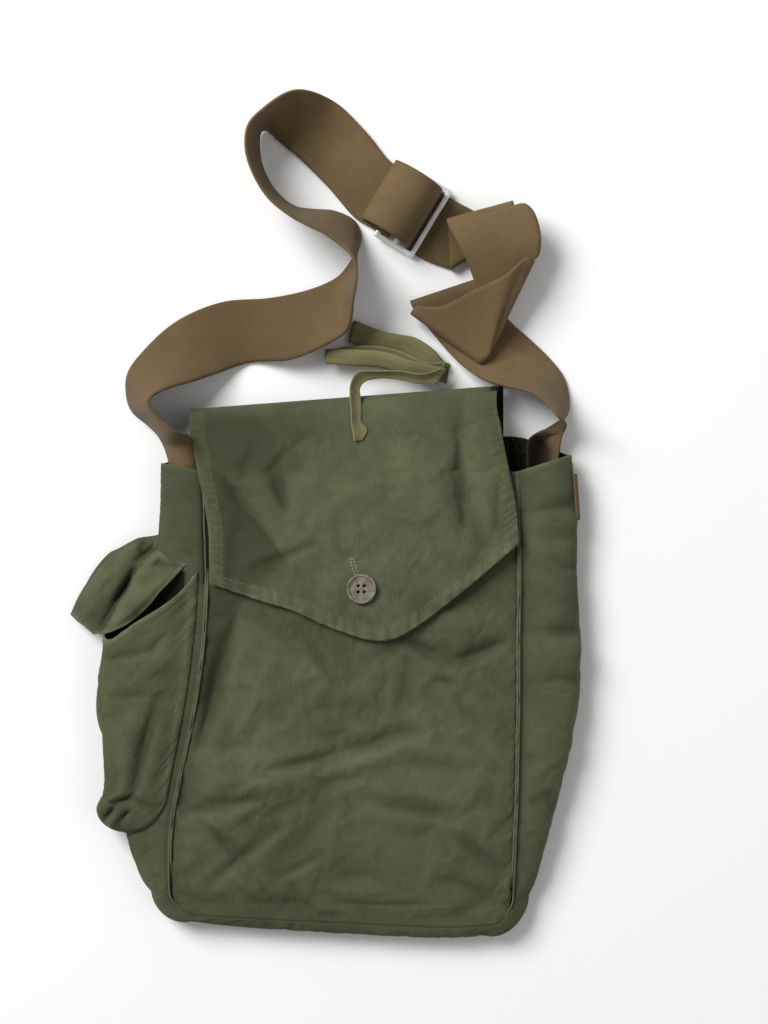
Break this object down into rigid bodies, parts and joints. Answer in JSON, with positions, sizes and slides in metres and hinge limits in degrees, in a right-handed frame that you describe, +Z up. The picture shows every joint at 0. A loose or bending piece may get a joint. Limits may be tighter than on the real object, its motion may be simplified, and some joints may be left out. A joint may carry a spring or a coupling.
{
  "type": "gas mask bag",
  "caption": "Soft canvas gas mask bag with a pointed button flap over its mouth, a gusset, a side pocket, a webbing sling with a slide and a cotton tie tape, lying on its back.",
  "frame": {"origin": "on the underside of the back panel, in the middle of the bag's body, on the ground it lies on", "axes": "Z up from the ground to the front of the bag, Y from the bottom of the bag to its mouth, X from its left side to its right"},
  "size_m": [0.3039, 0.5032, 0.0416],
  "materials": {
    "canvas": "matt olive cotton twill",
    "webbing": "matt brown cotton webbing",
    "tape": "matt pale olive cotton tape",
    "button": "satin grey brown",
    "steel": "satin plated"
  },
  "bodies": {
    "root": {"front_panel": "canvas", "gusset": "canvas", "back_panel": "canvas", "flap": "canvas", "side_pocket": "canvas", "pocket_flap": "canvas", "button": "button", "sling": "webbing", "slide": "steel", "tie_tape": "tape", "side_tab": "webbing"}
  },
  "joints": []
}
